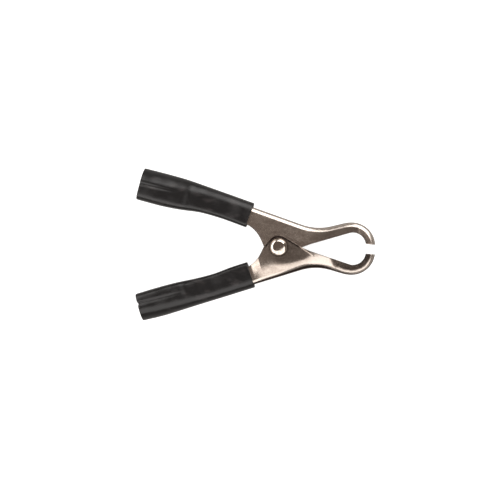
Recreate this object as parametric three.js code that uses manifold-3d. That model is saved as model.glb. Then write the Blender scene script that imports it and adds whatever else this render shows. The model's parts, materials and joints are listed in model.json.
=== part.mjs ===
/**
 * Insulated spring clip of the 4 inch size: two stamped steel channel levers on one rivet, a torsion
 * spring between them and a soft sleeve on each handle.
 *
 * Millimetres. +X runs along the clip towards the jaws, +Y across it towards the upper lever, and +Z
 * along the pivot. The origin is the centre of the rivet's flat tail, which the clip lies on.
 *
 * Both levers and both sleeves are described once, for the upper side of the clip, in a side view
 * with the pivot at (0, 0). The lower ones are mirrored in the plane Y = 0.
 */
import * as THREE from 'three';
import { mergeVertices } from 'three/addons/utils/BufferGeometryUtils.js';
import Module from 'manifold-3d';

const wasm = await Module();
wasm.setup();

// Sheet and channel section
const SHEET = 1;
const CHANNEL_HALF = 5.5;
const BEND_RADIUS = 1.5;
const BEND_STEPS = 2;
const PIVOT_HEIGHT = 7.5; // from the resting plane to the middle of the channels

// Handle, straight and sloping away from the clip's middle line
const HANDLE_SLOPE = THREE.MathUtils.degToRad(18.37);
const WEB_OFFSET = 12.34; // from the pivot to the outside of the handle's web
const HANDLE_END = 44.8; // from the pivot along the handle
const HANDLE_DEPTH = 7.8;
const WEB_STRAIGHT = 6.05; // how far the web runs straight on past the pivot

// Wiring end of the handle: two open crimp tabs behind a low stretch with a hole in the web
const TAB_START = 39.5;
const TAB_DEPTH = 7.5;
const LOW_START = 33.5;
const LOW_DEPTH = 3.5;
const WIRE_HOLE_ALONG = 29;
const WIRE_HOLE_RADIUS = 1.6;

// Web from the waist to the nose
const WAIST_RADIUS = 22.3;
const WAIST_TURN = 33.3;
const JAW_STRAIGHT = 5.2;
const CREST_RADIUS = 14.8;
const CREST_TURN = 14.93;
const NOSE_RADIUS = 10.13;
const NOSE_TURN = 88;
const JAW_GAP_HALF = 2.03;

// Free edge of the side walls
const EAR_RADIUS = 5;
const SHOULDER = new THREE.Vector2(-6.4, 0.1); // where the flank turns into the ear
const FLANK_ANGLE = THREE.MathUtils.degToRad(66);
const FLANK_LENGTH = 2.5;
const FLANK_START = 17.8;
const CROTCH = new THREE.Vector2(10.3, 0.15);
const JAW_EDGE_START = new THREE.Vector2(13.7, 1.5);
const NOSE_HOLLOW = new THREE.Vector2(32.2, 1.4);
const NOSE_HOLLOW_RADIUS = 5.6;

// Flared ears of the lower lever, which straddle the upper lever's
const FLARE = 1.2;
const FLARE_RISE = 6.6; // depth from the web at which the wall is fully flared
const FLARE_START = 14.5;
const FLARE_FULL = 9.7;
const FLARE_FADE_START = 12;
const FLARE_FADE_END = 24;

// Rivet
const SHANK_RADIUS = 2;
const RIVET_HOLE_RADIUS = 2.3;
const HEAD_RADIUS = 3.6;
const HEAD_RIM = 0.5;
const HEAD_DOME = 1.5;
const TAIL_RADIUS = 3.5;
const TAIL_CHAMFER = 0.2;
const RIVET_GRIP_HALF = 6.9; // half the length between the undersides of head and tail
const ROUND_SIDES = 24;

// Torsion spring
const WIRE_RADIUS = 0.75;
const COIL_RADIUS = 3.4;
const COIL_HALF_HEIGHT = 3.55;
const WHOLE_TURNS = 4;
const LEG_ANGLE = THREE.MathUtils.degToRad(37.2);
const LEG_LENGTH = 21;
const WIRE_SIDES = 8;
const WIRE_STEPS = 72;

// Sleeves: stations along the handle, as [along, inner edge, outer edge, half depth, squareness]
const SLEEVE_WALL = 1.1;
const BORE_SQUARENESS = 3; // the bore's corners are tighter than the outside's, round the sheet's edges
const SLEEVE_SIDES = 28;
const UPPER_SLEEVE = [
  [16.2, 3.2, 14.2, 7, 6],
  [30, 3.15, 14.2, 7, 6],
  [38, 2.5, 14.2, 7, 5],
  [46, 0.85, 14.15, 7.1, 3],
  [53, -0.3, 13.7, 7.3, 2.3],
  [65.2, -1.4, 12.6, 7.5, 2.1],
];
const LOWER_SLEEVE = [
  [14.9, 2.2, 13.65, 7, 6],
  [22, 2.3, 13.7, 7, 6],
  [30, 2.8, 13.75, 7, 6],
  [38, 2.5, 13.75, 7, 5],
  [48, 1.65, 13.85, 7.2, 3],
  [56, 1.37, 13.85, 7.4, 2.3],
  [65, 1.3, 13.3, 7.5, 2.1],
];
const SLEEVE_STEP = 4;

/** A point of the side view given by its distance along the handle and outwards from the pivot. */
function handlePoint(along, outwards) {
  const cos = Math.cos(HANDLE_SLOPE);
  const sin = Math.sin(HANDLE_SLOPE);
  return new THREE.Vector2(-cos * along + sin * outwards, sin * along + cos * outwards);
}

/** The closed solid that a geometry bounds. */
function toSolid(geometry) {
  const bare = geometry.clone();
  bare.deleteAttribute('normal');
  bare.deleteAttribute('uv');
  const merged = mergeVertices(bare, 1e-5);
  return new wasm.Manifold(new wasm.Mesh({
    numProp: 3,
    vertProperties: new Float32Array(merged.attributes.position.array),
    triVerts: new Uint32Array(merged.index.array),
  }));
}

/** The geometry that bounds a solid. */
function toGeometry(solid) {
  const mesh = solid.getMesh();
  const geometry = new THREE.BufferGeometry();
  geometry.setAttribute('position', new THREE.BufferAttribute(new Float32Array(mesh.vertProperties), 3));
  geometry.setIndex(new THREE.BufferAttribute(new Uint32Array(mesh.triVerts), 1));
  geometry.computeVertexNormals();
  return geometry;
}

/** Mirrors a geometry in the plane Y = 0 and keeps its faces pointing out. */
function mirrored(geometry) {
  const copy = geometry.clone().scale(1, -1, 1);
  const index = copy.index.array;
  for (let i = 0; i < index.length; i += 3) {
    [index[i], index[i + 1]] = [index[i + 1], index[i]];
  }
  return copy;
}

/**
 * A solid through a row of sections. Each section is { at, inwards, outline }: its place in the side
 * view, the direction of its second coordinate, and its points, whose first coordinate is along Z.
 */
function loft(sections) {
  const positions = [];
  for (const { at, inwards, outline } of sections) {
    for (const point of outline) {
      positions.push(
        at.x + inwards.x * point.y,
        at.y + inwards.y * point.y,
        PIVOT_HEIGHT + point.x,
      );
    }
  }
  const count = sections[0].outline.length;
  const index = [];
  for (let ring = 0; ring + 1 < sections.length; ring++) {
    for (let side = 0; side < count; side++) {
      const a = ring * count + side;
      const b = ring * count + (side + 1) % count;
      index.push(a, b, b + count, a, b + count, a + count);
    }
  }
  const last = (sections.length - 1) * count;
  for (const [a, b, c] of THREE.ShapeUtils.triangulateShape(sections[0].outline, [])) {
    index.push(c, b, a);
  }
  for (const [a, b, c] of THREE.ShapeUtils.triangulateShape(sections.at(-1).outline, [])) {
    index.push(last + a, last + b, last + c);
  }
  const geometry = new THREE.BufferGeometry();
  geometry.setAttribute('position', new THREE.Float32BufferAttribute(positions, 3));
  geometry.setIndex(index);
  return geometry;
}

/**
 * Stations on the outside of the web, from the handle's end to the nose. reach is how deep the side
 * walls are before they are trimmed to their free edge.
 */
function webStations() {
  const stretches = [
    { length: HANDLE_END - LOW_START, steps: 1, reach: [9, 9] },
    { length: LOW_START - FLARE_START - 1, steps: 1, reach: [9, 9] },
    { length: 1, steps: 1, reach: [9, 10.5] },
    { length: FLARE_START - FLARE_FULL, steps: 2, reach: [10.5, 18] },
    { length: FLARE_FULL, steps: 3, reach: [18, 18.5] },
    { length: WEB_STRAIGHT, steps: 2, reach: [18.5, 14.5] },
    { radius: WAIST_RADIUS, turn: WAIST_TURN, steps: 7, reach: [14.5, 6.5] },
    { length: JAW_STRAIGHT, steps: 1, reach: [6.5, 5.5] },
    { radius: CREST_RADIUS, turn: -CREST_TURN, steps: 3, reach: [5.5, 4.7] },
    { radius: NOSE_RADIUS, turn: -NOSE_TURN, steps: 12, reach: [4.7, 4.7] },
  ];
  const at = handlePoint(HANDLE_END, WEB_OFFSET);
  let heading = -HANDLE_SLOPE;
  let along = HANDLE_END;
  const stations = [];
  const add = (reach) => stations.push({
    at: at.clone(),
    inwards: new THREE.Vector2(Math.sin(heading), -Math.cos(heading)),
    along,
    reach,
  });
  add(stretches[0].reach[0]);
  for (const { length, radius, turn = 0, steps, reach } of stretches) {
    const turnStep = THREE.MathUtils.degToRad(turn) / steps;
    const chord = radius ? 2 * radius * Math.sin(Math.abs(turnStep) / 2) : length / steps;
    for (let step = 1; step <= steps; step++) {
      heading += turnStep / 2;
      at.x += chord * Math.cos(heading);
      at.y += chord * Math.sin(heading);
      heading += turnStep / 2;
      along -= chord;
      add(THREE.MathUtils.lerp(reach[0], reach[1], step / steps));
    }
  }
  return stations;
}

/** How far a wall point of the lower lever is flared, from 0 at the web to 1 at the ear. */
function flareShare(x, along, depth) {
  const fromWeb = (depth - BEND_RADIUS) / (FLARE_RISE - BEND_RADIUS);
  const fromHandle = (FLARE_START - along) / (FLARE_START - FLARE_FULL);
  const towardsJaw = (FLARE_FADE_END - x) / (FLARE_FADE_END - FLARE_FADE_START);
  return THREE.MathUtils.clamp(Math.min(fromWeb, fromHandle, towardsJaw), 0, 1);
}

/** The channel's section at a station, as points (across, depth from the outside of the web). */
function channelSection(station, flare, levels) {
  const wall = (level, face) => {
    const depth = THREE.MathUtils.lerp(BEND_RADIUS, station.reach, level);
    const x = station.at.x + station.inwards.x * depth;
    return [face + flare * flareShare(x, station.along, depth), depth];
  };
  const bend = (radius) => {
    const points = [];
    for (let step = 1; step <= BEND_STEPS; step++) {
      const angle = Math.PI / 2 * step / BEND_STEPS;
      points.push([
        CHANNEL_HALF - BEND_RADIUS + radius * Math.cos(angle),
        BEND_RADIUS - radius * Math.sin(angle),
      ]);
    }
    return points;
  };
  const down = [...levels].reverse();
  const outside = [...down.map((level) => wall(level, CHANNEL_HALF)), ...bend(BEND_RADIUS)];
  const inside = [
    ...down.map((level) => wall(level, CHANNEL_HALF - SHEET)),
    ...bend(BEND_RADIUS - SHEET),
  ];
  const right = ([across, depth]) => new THREE.Vector2(across, depth);
  const left = ([across, depth]) => new THREE.Vector2(-across, depth);
  return [
    ...inside.map(left),
    ...[...inside].reverse().map(right),
    ...outside.map(right),
    ...[...outside].reverse().map(left),
  ].reverse();
}

/** Everything on the web's side of the side walls' free edge, as a thick plate. */
function freeEdgePlate() {
  const beyond = 20;
  const webSide = WEB_OFFSET + beyond;
  const flankDirection = new THREE.Vector2(-Math.cos(FLANK_ANGLE), Math.sin(FLANK_ANGLE));
  const flankTop = SHOULDER.clone().addScaledVector(flankDirection, FLANK_LENGTH);
  // where the flank's line meets the line of the handle's free edge
  const outwards = new THREE.Vector2(Math.sin(HANDLE_SLOPE), Math.cos(HANDLE_SLOPE));
  const toEdge = WEB_OFFSET - HANDLE_DEPTH - outwards.dot(SHOULDER);
  const corner = SHOULDER.clone()
    .addScaledVector(flankDirection, toEdge / outwards.dot(flankDirection));
  // where lines from the shoulder and from the crotch touch the ear's circle
  const earStart = Math.atan2(SHOULDER.y, SHOULDER.x) + Math.acos(EAR_RADIUS / SHOULDER.length());
  const earEnd = Math.atan2(CROTCH.y, CROTCH.x) - Math.acos(EAR_RADIUS / CROTCH.length());
  const toHollow = NOSE_HOLLOW.clone().sub(JAW_EDGE_START);
  const jawSlope = Math.atan2(toHollow.y, toHollow.x)
    + Math.asin(NOSE_HOLLOW_RADIUS / toHollow.length());
  const hollowEnd = Math.asin((JAW_GAP_HALF - NOSE_HOLLOW.y) / NOSE_HOLLOW_RADIUS);

  const shape = new THREE.Shape();
  const lineTo = (point) => shape.lineTo(point.x, point.y);
  const start = handlePoint(HANDLE_END + beyond, webSide);
  shape.moveTo(start.x, start.y);
  lineTo(handlePoint(HANDLE_END + beyond, WEB_OFFSET - TAB_DEPTH));
  lineTo(handlePoint(TAB_START, WEB_OFFSET - TAB_DEPTH));
  lineTo(handlePoint(TAB_START, WEB_OFFSET - LOW_DEPTH));
  lineTo(handlePoint(LOW_START, WEB_OFFSET - LOW_DEPTH));
  lineTo(handlePoint(LOW_START, WEB_OFFSET - HANDLE_DEPTH));
  lineTo(handlePoint(FLANK_START, WEB_OFFSET - HANDLE_DEPTH));
  shape.quadraticCurveTo(corner.x, corner.y, flankTop.x, flankTop.y);
  lineTo(SHOULDER);
  shape.absarc(0, 0, EAR_RADIUS, earStart, earEnd + 2 * Math.PI, false);
  lineTo(CROTCH);
  lineTo(JAW_EDGE_START);
  shape.absarc(
    NOSE_HOLLOW.x, NOSE_HOLLOW.y, NOSE_HOLLOW_RADIUS, Math.PI / 2 + jawSlope, hollowEnd, true,
  );
  shape.lineTo(NOSE_HOLLOW.x + beyond, JAW_GAP_HALF);
  shape.lineTo(NOSE_HOLLOW.x + beyond, start.y);
  const plate = new THREE.ExtrudeGeometry(shape, {
    depth: 2 * PIVOT_HEIGHT,
    bevelEnabled: false,
    curveSegments: 12,
  });
  return toSolid(plate);
}

/** A round cutter along Z through the pivot. */
function rivetHole() {
  const cutter = new THREE.CylinderGeometry(
    RIVET_HOLE_RADIUS, RIVET_HOLE_RADIUS, 4 * PIVOT_HEIGHT, ROUND_SIDES,
  );
  cutter.rotateX(Math.PI / 2);
  return toSolid(cutter);
}

/** A round cutter through the handle's web for the wire's end. */
function wireHole() {
  const cutter = new THREE.CylinderGeometry(WIRE_HOLE_RADIUS, WIRE_HOLE_RADIUS, 4 * SHEET, 16);
  const place = handlePoint(WIRE_HOLE_ALONG, WEB_OFFSET);
  cutter.rotateZ(-HANDLE_SLOPE);
  cutter.translate(place.x, place.y, PIVOT_HEIGHT);
  return toSolid(cutter);
}

/** One stamped lever, as the upper one lies. */
function leverGeometry(flare, levels) {
  const channel = loft(webStations().map((station) => ({
    at: station.at,
    inwards: station.inwards,
    outline: channelSection(station, flare, levels),
  })));
  const solid = toSolid(channel)
    .intersect(freeEdgePlate())
    .subtract(rivetHole())
    .subtract(wireHole());
  return toGeometry(solid);
}

/** One solid rivet with a domed head, standing on the flat face of its tail. */
function rivetGeometry() {
  const head = PIVOT_HEIGHT + RIVET_GRIP_HALF;
  const tail = PIVOT_HEIGHT - RIVET_GRIP_HALF;
  const domeRadius = (HEAD_RADIUS ** 2 + HEAD_DOME ** 2) / (2 * HEAD_DOME);
  const domeAngle = Math.asin(HEAD_RADIUS / domeRadius);
  const domeSteps = 5;
  const profile = [
    new THREE.Vector2(0, 0),
    new THREE.Vector2(TAIL_RADIUS - TAIL_CHAMFER, 0),
    new THREE.Vector2(TAIL_RADIUS, TAIL_CHAMFER),
    new THREE.Vector2(TAIL_RADIUS, tail),
    new THREE.Vector2(SHANK_RADIUS, tail),
    new THREE.Vector2(SHANK_RADIUS, head),
    new THREE.Vector2(HEAD_RADIUS, head),
  ];
  for (let step = 0; step <= domeSteps; step++) {
    const angle = domeAngle * (1 - step / domeSteps);
    profile.push(new THREE.Vector2(
      domeRadius * Math.sin(angle),
      head + HEAD_RIM + HEAD_DOME - domeRadius * (1 - Math.cos(angle)),
    ));
  }
  const rivet = new THREE.LatheGeometry(profile, ROUND_SIDES);
  rivet.rotateX(Math.PI / 2);
  return rivet;
}

/** The wire's line: the lower handle's leg, the coil round the rivet, and the upper handle's leg. */
class SpringLine extends THREE.Curve {
  constructor() {
    super();
    this.arcLengthDivisions = 1200;
    this.endAngle = Math.PI / 2 - LEG_ANGLE;
    this.sweep = 2 * this.endAngle + 2 * Math.PI * WHOLE_TURNS;
    this.coilLength = this.sweep * COIL_RADIUS;
  }

  leg(side, distance) {
    return new THREE.Vector3(
      COIL_RADIUS * Math.cos(this.endAngle) - distance * Math.cos(LEG_ANGLE),
      side * (COIL_RADIUS * Math.sin(this.endAngle) + distance * Math.sin(LEG_ANGLE)),
      PIVOT_HEIGHT + side * COIL_HALF_HEIGHT,
    );
  }

  getPoint(t) {
    const distance = t * (this.coilLength + 2 * LEG_LENGTH);
    if (distance <= LEG_LENGTH) {
      return this.leg(-1, LEG_LENGTH - distance);
    }
    if (distance >= LEG_LENGTH + this.coilLength) {
      return this.leg(1, distance - LEG_LENGTH - this.coilLength);
    }
    const share = (distance - LEG_LENGTH) / this.coilLength;
    const angle = -this.endAngle + share * this.sweep;
    return new THREE.Vector3(
      COIL_RADIUS * Math.cos(angle),
      COIL_RADIUS * Math.sin(angle),
      PIVOT_HEIGHT + COIL_HALF_HEIGHT * (2 * share - 1),
    );
  }
}

/** The torsion spring of round wire. */
function springGeometry() {
  const wire = new THREE.Shape();
  for (let side = 0; side < WIRE_SIDES; side++) {
    const angle = 2 * Math.PI * (side + 0.5) / WIRE_SIDES;
    const method = side === 0 ? 'moveTo' : 'lineTo';
    wire[method](WIRE_RADIUS * Math.cos(angle), WIRE_RADIUS * Math.sin(angle));
  }
  return new THREE.ExtrudeGeometry(wire, {
    steps: WIRE_STEPS,
    extrudePath: new SpringLine(),
    bevelEnabled: false,
  });
}

/** A sleeve's stations at even steps, each value smoothly interpolated between the given ones. */
function sleeveStations(table, overrun) {
  const first = table[0][0];
  const last = table.at(-1)[0];
  const steps = Math.round((last - first) / SLEEVE_STEP);
  const stations = [];
  for (let step = 0; step <= steps; step++) {
    const along = THREE.MathUtils.lerp(first, last, step / steps);
    const next = Math.max(1, table.findIndex((row) => row[0] >= along - 1e-6));
    const [from, to] = [table[next - 1], table[next]];
    const share = (along - from[0]) / (to[0] - from[0]);
    stations.push(from.map((value, column) => THREE.MathUtils.lerp(value, to[column], share)));
  }
  stations[0][0] -= overrun;
  stations.at(-1)[0] += overrun;
  return stations;
}

/** One skin of a sleeve, as the upper one lies: the outside, or the bore inset by the wall. */
function sleeveSkin(table, inset, squareness, overrun) {
  const stations = sleeveStations(table, overrun);
  const centres = stations.map(([along, inner, outer]) => handlePoint(along, (inner + outer) / 2));
  const sections = stations.map(([, inner, outer, half, square], place) => {
    const before = centres[Math.max(place - 1, 0)];
    const after = centres[Math.min(place + 1, centres.length - 1)];
    const tailwards = after.clone().sub(before).normalize();
    const outline = [];
    for (let side = 0; side < SLEEVE_SIDES; side++) {
      const angle = 2 * Math.PI * (side + 0.5) / SLEEVE_SIDES;
      const power = 2 / (2 + (square - 2) * squareness);
      const rounded = (value) => Math.sign(value) * Math.abs(value) ** power;
      outline.push(new THREE.Vector2(
        (half - inset) * rounded(Math.cos(angle)),
        ((outer - inner) / 2 - inset) * rounded(Math.sin(angle)),
      ));
    }
    return { at: centres[place], inwards: new THREE.Vector2(-tailwards.y, tailwards.x), outline };
  });
  return toSolid(loft(sections.reverse()));
}

/** One soft sleeve, open at both ends, as the upper one lies. */
function sleeveGeometry(table) {
  const outside = sleeveSkin(table, 0, 1, 0);
  const bore = sleeveSkin(table, SLEEVE_WALL, BORE_SQUARENESS, 1);
  return toGeometry(outside.subtract(bore));
}

const nickel = { color: 0xb3a48f, roughness: 0.3, metalness: 1 };
const springSteel = { color: 0x8c8984, roughness: 0.35, metalness: 1 };
const blackVinyl = { color: 0x211f20, roughness: 0.55, metalness: 0 };

/** A named part of the clip with a material of its own. */
function part(name, geometry, finish) {
  const mesh = new THREE.Mesh(geometry, new THREE.MeshStandardMaterial(finish));
  mesh.name = name;
  return mesh;
}

const clip = new THREE.Group();
clip.name = 'spring_clip';
clip.add(
  part('upper_lever', leverGeometry(0, [0, 1]), nickel),
  part('lower_lever', mirrored(leverGeometry(FLARE, [0, 0.15, 0.3, 1])), nickel),
  part('pivot_rivet', rivetGeometry(), nickel),
  part('torsion_spring', springGeometry(), springSteel),
  part('upper_sleeve', sleeveGeometry(UPPER_SLEEVE), blackVinyl),
  part('lower_sleeve', mirrored(sleeveGeometry(LOWER_SLEEVE)), blackVinyl),
);

export default clip;
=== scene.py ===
"""Looks of the insulated spring clip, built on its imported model.

Lengths are millimetres until build_piece() turns them into Blender's metres. The frame is the packed
one: +X towards the jaws, +Y towards the upper lever, +Z along the pivot. Both levers and both sleeves
are described for the upper side of the clip, and the lower ones are mirrored in the plane Y = 0.
"""
import json
import math

import bmesh
import bpy
import numpy as np
from mathutils import Matrix, Vector


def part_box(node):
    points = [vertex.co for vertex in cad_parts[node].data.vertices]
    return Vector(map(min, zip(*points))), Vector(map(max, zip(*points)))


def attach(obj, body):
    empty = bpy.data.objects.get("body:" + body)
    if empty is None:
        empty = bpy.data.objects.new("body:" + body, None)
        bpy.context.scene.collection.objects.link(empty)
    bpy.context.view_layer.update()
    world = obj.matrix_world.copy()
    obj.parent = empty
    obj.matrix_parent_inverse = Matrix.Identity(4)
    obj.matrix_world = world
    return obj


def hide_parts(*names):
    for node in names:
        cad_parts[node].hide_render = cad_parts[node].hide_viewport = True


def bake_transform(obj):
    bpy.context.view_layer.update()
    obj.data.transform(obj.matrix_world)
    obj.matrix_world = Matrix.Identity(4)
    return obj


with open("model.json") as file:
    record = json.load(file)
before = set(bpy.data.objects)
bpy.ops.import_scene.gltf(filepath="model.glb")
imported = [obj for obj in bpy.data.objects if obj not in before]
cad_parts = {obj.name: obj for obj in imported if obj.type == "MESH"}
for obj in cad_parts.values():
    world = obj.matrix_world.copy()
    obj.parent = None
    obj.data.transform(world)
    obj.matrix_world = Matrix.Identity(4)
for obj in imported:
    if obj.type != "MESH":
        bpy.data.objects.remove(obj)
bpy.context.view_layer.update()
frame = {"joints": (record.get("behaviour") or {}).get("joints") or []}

MM = 0.001

# Channel section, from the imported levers
lever_low, lever_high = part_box("upper_lever")
CHANNEL_HALF = (lever_high.z - lever_low.z) / 2 / MM
PIVOT_HEIGHT = frame["joints"][0]["pos_m"][2] / MM
SHEET = 1.0
EDGE_ROUND = 0.22  # rounding of the sheet's cut edges

# Handle, straight and sloping away from the clip's middle line
HANDLE_SLOPE = math.radians(18.37)
WEB_OFFSET = 12.34  # from the pivot to the outside of the handle's web
HANDLE_END = 44.8  # from the pivot along the handle
HANDLE_DEPTH = 7.8
WEB_STRAIGHT = 6.05  # how far the web runs straight on past the pivot
HIDDEN_ALONG = 19  # beyond this the sleeve hides the handle

# Wiring end of the handle: two open tabs behind a low stretch with a hole in the web
TAB_START = 39.5
TAB_DEPTH = 7.5
LOW_START = 33.5
LOW_DEPTH = 3.5
WIRE_HOLE_ALONG = 29
WIRE_HOLE_RADIUS = 1.6

# Web from the waist to the nose, as radius and turn in degrees
WAIST = (22.3, 33.3)
JAW_STRAIGHT = 5.2
CREST = (14.8, -14.93)
NOSE_RADIUS = 10.13

# Tips, as the heights of the outer and the inner corner of their cut
UPPER_TIP = (1.9, 2.25)
LOWER_TIP = (2.2, 2.0)
TIP_LENGTH = 5  # stretch over which the sections turn into the plane of the cut

# Outer radius of the bends between web and walls, as (x, radius)
UPPER_BENDS = [(-20, 2.2), (40, 2.2)]
LOWER_BENDS = [(-15, 1.8), (0, 2.1), (12, 2.8), (18, 2.8), (26, 2.5), (41, 2.2)]

# Width of the painted dark line along the outside of the bends, a painted shade in place of the dark
# reflection there, as (x, width)
UPPER_SHADE_LINE = [(-20, 0.14), (40, 0.14)]
LOWER_SHADE_LINE = [(-15, 0.75), (0, 1.0), (12, 1.55), (18, 1.45), (24, 0.8), (36, 0.4)]

# Free edge of the side walls
EAR_RADIUS = 5.0
SHOULDER = np.array([-6.4, 0.1])  # where the flank turns into the ear
FLANK_ANGLE = math.radians(66)
FLANK_LENGTH = 2.5
FLANK_START = 17.8
CROTCH = np.array([10.3, 0.15])
JAW_EDGE_START = np.array([13.7, 1.5])
NOSE_HOLLOW = np.array([32.2, 1.4])
NOSE_HOLLOW_RADIUS = 5.6
PAST_TIP = -0.4  # angle of the hollow at which the outline may stop

# Faint line across the upper lever's nose
NOSE_LINE_X = 34.0
NOSE_LINE_HEIGHT = 0.07
NOSE_LINE_WIDTH = 0.3

# Flared ears of the lower lever, which straddle the upper lever's
FLARE = 1.2
PAD_CENTRE = 1.5  # the flat pad round the pivot is half an ellipse
PAD_LENGTH = 14.0
PAD_WIDTH = 7.5
PAD_SOFTNESS = 0.36  # rounding of the pad's edge, as a share of the rise to it
RISE_START = 0.7  # depth at which the wall starts to rise
SHORTEST_RISE = 3.0
LONGEST_RISE = 5.6  # reached where the wall is deep enough
CREASE_ALONG = 9.7  # fold across the handle at which the pad ends
CREASE_SOFTNESS = 0.05
FLARE_START = 13.7  # fold at which the handle's plain wall starts to rise to the pad
JAW_FOLD_X = 21.3
JAW_FOLD_Y = 4.0
JAW_FOLD_SLANT = 0.45
JAW_FOLD_SOFTNESS = 0.06
JAW_FADE = 4.5  # length beyond the jaw's fold over which the wall sinks back

# Step along the lower lever's jaw edge, just outside the ear
RIM_START = np.array([9.3, 0.0])
RIM_SLOPE = math.radians(33.5)
RIM_WIDTH = 0.25

# Rivet
SHANK_RADIUS = 2.0
RIVET_HOLE_RADIUS = 2.15
HEAD_RADIUS = 3.6
HEAD_RIM = 0.95
HEAD_DOME = 1.0
TAIL_RADIUS = 3.5
RIVET_GRIP_HALF = 6.9  # half the length between the undersides of head and tail

# Torsion spring
WIRE_RADIUS = 0.75
COIL_RADIUS = 3.4
COIL_HALF_HEIGHT = 3.55
WHOLE_TURNS = 4
LEG_ANGLE = math.radians(37.2)
LEG_LENGTH = 21.0

# Sleeves
SLEEVE_WALL = 1.15
SLEEVE_END_ROUND = 0.4
SLEEVE_FIT = 0.24  # gap between the bore and the lever's walls
SLEEVE_WEB_FIT = 0.3  # gap between the bore and the lever's web
BORE_SQUARENESS = 8  # where the bore holds the lever
INNER_SQUARENESS = 2.3  # times squarer over the free edges than over the web's bends

# Sleeves' stations along the handle, as [along, inner edge, outer edge, half depth, squareness]
UPPER_SLEEVE = [
    [16.2, 3.2, 14.2, 7, 3.4],
    [30, 3.15, 14.2, 7, 3.2],
    [38, 2.5, 14.2, 7, 3],
    [46, 0.85, 14.15, 7.1, 2.6],
    [53, -0.3, 13.7, 7.3, 2.3],
    [65.2, -1.4, 12.6, 7.5, 2.1],
]
LOWER_SLEEVE = [
    [14.9, 2.2, 13.65, 7, 3.4],
    [22, 2.3, 13.7, 7, 3.3],
    [30, 2.8, 13.75, 7, 3.2],
    [38, 2.5, 13.75, 7, 3],
    [48, 1.65, 13.85, 7.2, 2.6],
    [56, 1.37, 13.85, 7.4, 2.3],
    [65, 1.3, 13.3, 7.5, 2.1],
]

# Creases in the sleeves' tails: place as a share of the width, depth, length, and notch in the end
UPPER_CREASE = (0.5, 0.45, 17.0, 0.0)
LOWER_CREASE = (0.36, 0.65, 21.0, 0.6)

# Softboxes
LIGHT_DISTANCE = 1.0  # metres
LIGHT_COLOUR = (1.0, 0.98, 0.965)


# ---------------------------------------------------------------- shape helpers

def handle_point(along, outwards):
    """A point of the side view, by its distance along the handle and outwards from the pivot."""
    cos = math.cos(HANDLE_SLOPE)
    sin = math.sin(HANDLE_SLOPE)
    return np.array([-cos * along + sin * outwards, sin * along + cos * outwards])


def fade_in(value, start, end):
    """0 below start, 1 above end and an even S between."""
    t = np.clip((value - start) / (end - start), 0, 1)
    return t * t * (3 - 2 * t)


def fade_out(value, start, end):
    """1 below start, 0 above end and an even S between."""
    return 1 - fade_in(value, start, end)


def soft_min(value, limit, softness):
    """The smaller of value and limit, with the corner between them rounded off."""
    share = np.clip(0.5 + 0.5 * (limit - value) / softness, 0, 1)
    return limit * (1 - share) + value * share - softness * share * (1 - share)


def arc(centre, radius, start, end, steps):
    """Points of an arc from one angle to another."""
    angles = np.linspace(start, end, steps + 1)
    return centre + radius * np.column_stack([np.cos(angles), np.sin(angles)])


def cut_profile(steps):
    """A cut edge with rounded corners, as (share of the thickness, share of the rounding)."""
    angles = np.linspace(0, math.pi, steps + 1)[1:-1]
    squareness = 2 / 3.5
    across = 0.5 - 0.5 * np.sign(np.cos(angles)) * np.abs(np.cos(angles)) ** squareness
    return across, np.sin(angles) ** squareness


def grid_faces(rings, around, closed):
    """Quads between neighbouring rings of points, and from the last ring to the first if closed."""
    faces = []
    for ring in range(rings if closed else rings - 1):
        here = ring * around
        there = (ring + 1) % rings * around
        for side in range(around):
            after = (side + 1) % around
            faces.append((here + side, here + after, there + after, there + side))
    return faces


def build_piece(name, rings, closed, mirror=False, sharp=40):
    """A closed mesh over an array of rings of points. Unless closed, its two ends are capped."""
    count, around = rings.shape[:2]
    points = rings.reshape(-1, 3) * MM
    if mirror:
        points = points * np.array([1, -1, 1])
    faces = grid_faces(count, around, closed)
    if not closed:
        faces.append(tuple(range(around)))
        faces.append(tuple(range((count - 1) * around, count * around)))
    mesh = bpy.data.meshes.new(name)
    mesh.from_pydata(points.tolist(), [], faces)
    made = bmesh.new()
    made.from_mesh(mesh)
    bmesh.ops.recalc_face_normals(made, faces=made.faces)
    made.to_mesh(mesh)
    made.free()
    piece = bpy.data.objects.new(name, mesh)
    bpy.context.scene.collection.objects.link(piece)
    finish_shading(piece, sharp)
    return piece


def finish_shading(piece, sharp):
    """Smooth shading, except over edges that turn by more than sharp degrees."""
    piece.data.shade_smooth()
    piece.data.set_sharp_from_angle(angle=math.radians(sharp))


def drill(piece, radius, length, place):
    """Cuts a round hole, whose axis is the Z axis of place."""
    tool = bmesh.new()
    bmesh.ops.create_cone(
        tool,
        cap_ends=True,
        segments=64,
        radius1=radius * MM,
        radius2=radius * MM,
        depth=length * MM,
        matrix=place,
    )
    mesh = bpy.data.meshes.new("drill")
    tool.to_mesh(mesh)
    tool.free()
    cutter = bpy.data.objects.new("drill", mesh)
    bpy.context.scene.collection.objects.link(cutter)
    cut = piece.modifiers.new("hole", "BOOLEAN")
    cut.operation = "DIFFERENCE"
    cut.solver = "EXACT"
    cut.object = cutter
    graph = bpy.context.evaluated_depsgraph_get()
    drilled = bpy.data.meshes.new_from_object(piece.evaluated_get(graph))
    piece.modifiers.clear()
    piece.data = drilled
    bpy.data.objects.remove(cutter)


# ---------------------------------------------------------------- levers

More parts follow.
